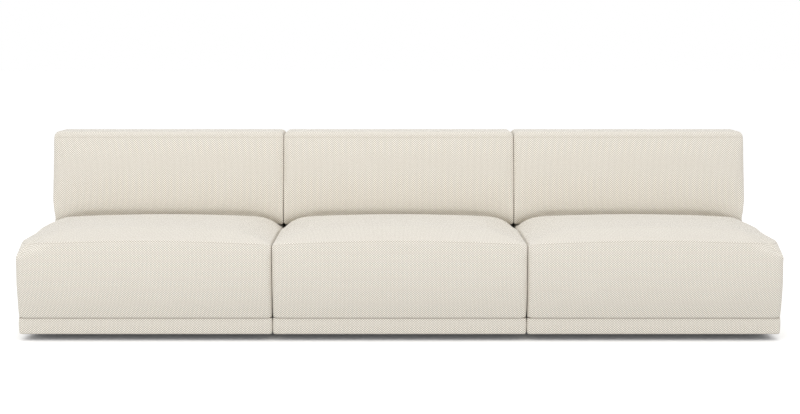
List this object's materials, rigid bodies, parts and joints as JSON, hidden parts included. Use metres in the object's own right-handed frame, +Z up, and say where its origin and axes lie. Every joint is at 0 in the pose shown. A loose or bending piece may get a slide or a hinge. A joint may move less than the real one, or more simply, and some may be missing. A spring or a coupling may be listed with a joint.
{
  "type": "armless sofa",
  "caption": "Armless modular sofa with a low plinth, crowned seat blocks and lift-off reclined back blocks, upholstered in ivory woven fabric.",
  "frame": {"origin": "on the floor, below the middle of the whole sofa", "axes": "+X along the sofa to the sitter's left, +Z up, the front faces -Y"},
  "size_m": [2.8766, 0.9401, 0.7499],
  "materials": {
    "upholstery": "ivory heavy woven fabric, matte",
    "foam": "upholstery foam with fibre wrap",
    "timber": "planed softwood, unfinished",
    "plywood": "birch plywood, unfinished",
    "spring_steel": "dark drawn steel wire",
    "steel": "zinc plated",
    "dust_cloth": "black non-woven cloth",
    "feet_plastic": "moulded black"
  },
  "bodies": {
    "centre_seat": {"centre_seat_cover": "upholstery", "centre_seat_foam": "foam", "centre_seat_springs": "spring_steel", "centre_spring_clips": "spring_steel", "centre_front_rail": "timber", "centre_mid_rail": "timber", "centre_rear_rail": "timber", "centre_side_rails": "timber", "centre_deck_board": "plywood", "centre_dust_cover": "dust_cloth", "centre_plinth_boards": "plywood", "centre_plinth_cover": "upholstery", "centre_feet": "feet_plastic", "centre_bracket_sockets": "steel", "centre_hook_plates": "steel"},
    "centre_back": {"centre_back_cover": "upholstery", "centre_back_foam": "foam", "centre_back_posts": "timber", "centre_back_rails": "timber", "centre_back_blades": "steel"},
    "left_seat": {"left_seat_cover": "upholstery", "left_seat_foam": "foam", "left_seat_springs": "spring_steel", "left_spring_clips": "spring_steel", "left_front_rail": "timber", "left_mid_rail": "timber", "left_rear_rail": "timber", "left_side_rails": "timber", "left_deck_board": "plywood", "left_dust_cover": "dust_cloth", "left_plinth_boards": "plywood", "left_plinth_cover": "upholstery", "left_feet": "feet_plastic", "left_bracket_sockets": "steel", "left_hook_plates": "steel"},
    "left_back": {"left_back_cover": "upholstery", "left_back_foam": "foam", "left_back_posts": "timber", "left_back_rails": "timber", "left_back_blades": "steel"},
    "right_seat": {"right_seat_cover": "upholstery", "right_seat_foam": "foam", "right_seat_springs": "spring_steel", "right_spring_clips": "spring_steel", "right_front_rail": "timber", "right_mid_rail": "timber", "right_rear_rail": "timber", "right_side_rails": "timber", "right_deck_board": "plywood", "right_dust_cover": "dust_cloth", "right_plinth_boards": "plywood", "right_plinth_cover": "upholstery", "right_feet": "feet_plastic", "right_bracket_sockets": "steel", "right_hook_plates": "steel"},
    "right_back": {"right_back_cover": "upholstery", "right_back_foam": "foam", "right_back_posts": "timber", "right_back_rails": "timber", "right_back_blades": "steel"}
  },
  "joints": [
    {"name": "left_module_lift", "type": "slide", "parent": "centre_seat", "child": "left_seat", "axis": [0, 0, 1], "range_m": [0, 0.03]},
    {"name": "right_module_lift", "type": "slide", "parent": "centre_seat", "child": "right_seat", "axis": [0, 0, 1], "range_m": [0, 0.03]},
    {"name": "left_back_lift", "type": "slide", "parent": "left_seat", "child": "left_back", "axis": [0, 0, 1], "range_m": [0, 0.1]},
    {"name": "centre_back_lift", "type": "slide", "parent": "centre_seat", "child": "centre_back", "axis": [0, 0, 1], "range_m": [0, 0.1]},
    {"name": "right_back_lift", "type": "slide", "parent": "right_seat", "child": "right_back", "axis": [0, 0, 1], "range_m": [0, 0.1]}
  ]
}
